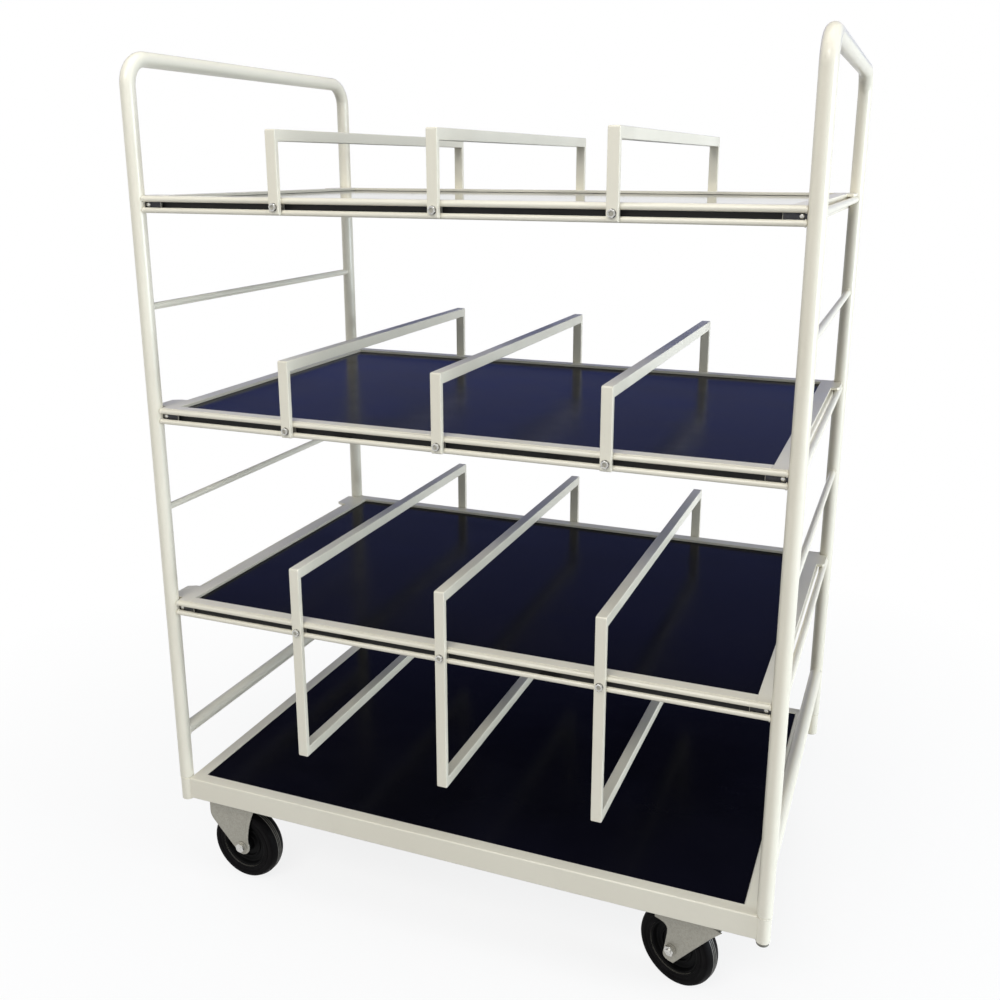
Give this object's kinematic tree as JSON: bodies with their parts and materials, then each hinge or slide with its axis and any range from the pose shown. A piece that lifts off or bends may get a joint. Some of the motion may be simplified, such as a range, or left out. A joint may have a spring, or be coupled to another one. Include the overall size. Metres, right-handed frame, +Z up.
{
  "type": "mobile storage rack",
  "caption": "Wheeled open rack with a deck, shelves between tubular end frames with push handles, and sliding divider loops that keep upright goods apart.",
  "frame": {"origin": "middle of the overall footprint, on the floor under the wheels", "axes": "+X along the length, to the right end frame seen from the front; +Y from the front to the back; +Z up"},
  "size_m": [1.246, 0.8148, 1.702],
  "materials": {
    "paint": "warm off-white powder coat, semi-gloss",
    "panel_film": "film-faced plywood, near-black, semi-gloss",
    "zinc": "zinc-plated pressed steel, dull",
    "bright_zinc": "bright zinc-plated fasteners",
    "rubber": "black rubber, matt",
    "hub_plastic": "black moulded plastic",
    "plug_plastic": "grey moulded plastic"
  },
  "bodies": {
    "chassis": {"left_end_frame": "paint", "right_end_frame": "paint", "base_frame": "paint", "base_panel": "panel_film", "stub_plug": "plug_plastic", "low_shelf_frame": "paint", "low_shelf_panel": "panel_film", "middle_shelf_frame": "paint", "middle_shelf_panel": "panel_film", "top_shelf_frame": "paint", "top_shelf_panel": "panel_film", "front_left_castor_plate": "zinc", "front_right_castor_plate": "zinc", "rear_left_castor_plate": "zinc", "rear_right_castor_plate": "zinc"},
    "low_left_loop": {"low_left_divider": "paint", "low_left_front_clamp": "bright_zinc", "low_left_rear_clamp": "bright_zinc"},
    "low_centre_loop": {"low_centre_divider": "paint", "low_centre_front_clamp": "bright_zinc", "low_centre_rear_clamp": "bright_zinc"},
    "low_right_loop": {"low_right_divider": "paint", "low_right_front_clamp": "bright_zinc", "low_right_rear_clamp": "bright_zinc"},
    "middle_left_loop": {"middle_left_divider": "paint", "middle_left_front_clamp": "bright_zinc", "middle_left_rear_clamp": "bright_zinc"},
    "middle_centre_loop": {"middle_centre_divider": "paint", "middle_centre_front_clamp": "bright_zinc", "middle_centre_rear_clamp": "bright_zinc"},
    "middle_right_loop": {"middle_right_divider": "paint", "middle_right_front_clamp": "bright_zinc", "middle_right_rear_clamp": "bright_zinc"},
    "top_left_loop": {"top_left_divider": "paint", "top_left_front_clamp": "bright_zinc", "top_left_rear_clamp": "bright_zinc"},
    "top_centre_loop": {"top_centre_divider": "paint", "top_centre_front_clamp": "bright_zinc", "top_centre_rear_clamp": "bright_zinc"},
    "top_right_loop": {"top_right_divider": "paint", "top_right_front_clamp": "bright_zinc", "top_right_rear_clamp": "bright_zinc"},
    "front_left_swivel": {"front_left_castor_fork": "zinc", "front_left_castor_axle": "bright_zinc"},
    "front_left_wheel": {"front_left_castor_tyre": "rubber", "front_left_castor_hub": "hub_plastic"},
    "front_right_swivel": {"front_right_castor_fork": "zinc", "front_right_castor_axle": "bright_zinc"},
    "front_right_wheel": {"front_right_castor_tyre": "rubber", "front_right_castor_hub": "hub_plastic"},
    "rear_left_swivel": {"rear_left_castor_fork": "zinc", "rear_left_castor_axle": "bright_zinc"},
    "rear_left_wheel": {"rear_left_castor_tyre": "rubber", "rear_left_castor_hub": "hub_plastic"},
    "rear_right_swivel": {"rear_right_castor_fork": "zinc", "rear_right_castor_axle": "bright_zinc"},
    "rear_right_wheel": {"rear_right_castor_tyre": "rubber", "rear_right_castor_hub": "hub_plastic"}
  },
  "joints": [
    {"name": "low_left_slide", "type": "slide", "parent": "chassis", "child": "low_left_loop", "axis": [1, 0, 0], "range_m": [-0.22, 0.13]},
    {"name": "low_centre_slide", "type": "slide", "parent": "chassis", "child": "low_centre_loop", "axis": [1, 0, 0], "range_m": [-0.13, 0.13]},
    {"name": "low_right_slide", "type": "slide", "parent": "chassis", "child": "low_right_loop", "axis": [1, 0, 0], "range_m": [-0.13, 0.22]},
    {"name": "middle_left_slide", "type": "slide", "parent": "chassis", "child": "middle_left_loop", "axis": [1, 0, 0], "range_m": [-0.22, 0.13]},
    {"name": "middle_centre_slide", "type": "slide", "parent": "chassis", "child": "middle_centre_loop", "axis": [1, 0, 0], "range_m": [-0.13, 0.13]},
    {"name": "middle_right_slide", "type": "slide", "parent": "chassis", "child": "middle_right_loop", "axis": [1, 0, 0], "range_m": [-0.13, 0.22]},
    {"name": "top_left_slide", "type": "slide", "parent": "chassis", "child": "top_left_loop", "axis": [1, 0, 0], "range_m": [-0.22, 0.13]},
    {"name": "top_centre_slide", "type": "slide", "parent": "chassis", "child": "top_centre_loop", "axis": [1, 0, 0], "range_m": [-0.13, 0.13]},
    {"name": "top_right_slide", "type": "slide", "parent": "chassis", "child": "top_right_loop", "axis": [1, 0, 0], "range_m": [-0.13, 0.22]},
    {"name": "front_left_swivel_turn", "type": "hinge", "parent": "chassis", "child": "front_left_swivel", "pos_m": [-0.535, -0.332, 0.18], "axis": [0, 0, 1], "continuous": true},
    {"name": "front_left_wheel_spin", "type": "hinge", "parent": "front_left_swivel", "child": "front_left_wheel", "pos_m": [-0.49707, -0.33425, 0.08], "axis": [0.0593, 0.9982, 0], "continuous": true},
    {"name": "front_right_swivel_turn", "type": "hinge", "parent": "chassis", "child": "front_right_swivel", "pos_m": [0.482, -0.321, 0.18], "axis": [0, 0, 1], "continuous": true},
    {"name": "front_right_wheel_spin", "type": "hinge", "parent": "front_right_swivel", "child": "front_right_wheel", "pos_m": [0.44669, -0.30695, 0.08], "axis": [-0.3697, -0.9291, 0], "continuous": true},
    {"name": "rear_left_swivel_turn", "type": "hinge", "parent": "chassis", "child": "rear_left_swivel", "pos_m": [-0.535, 0.332, 0.18], "axis": [0, 0, 1], "continuous": true},
    {"name": "rear_left_wheel_spin", "type": "hinge", "parent": "rear_left_swivel", "child": "rear_left_wheel", "pos_m": [-0.49721, 0.33597, 0.08], "axis": [-0.1045, 0.9945, 0], "continuous": true},
    {"name": "rear_right_swivel_turn", "type": "hinge", "parent": "chassis", "child": "rear_right_swivel", "pos_m": [0.482, 0.321, 0.18], "axis": [0, 0, 1], "continuous": true},
    {"name": "rear_right_wheel_spin", "type": "hinge", "parent": "rear_right_swivel", "child": "rear_right_wheel", "pos_m": [0.44513, 0.33019, 0.08], "axis": [-0.2419, -0.9703, 0], "continuous": true}
  ]
}
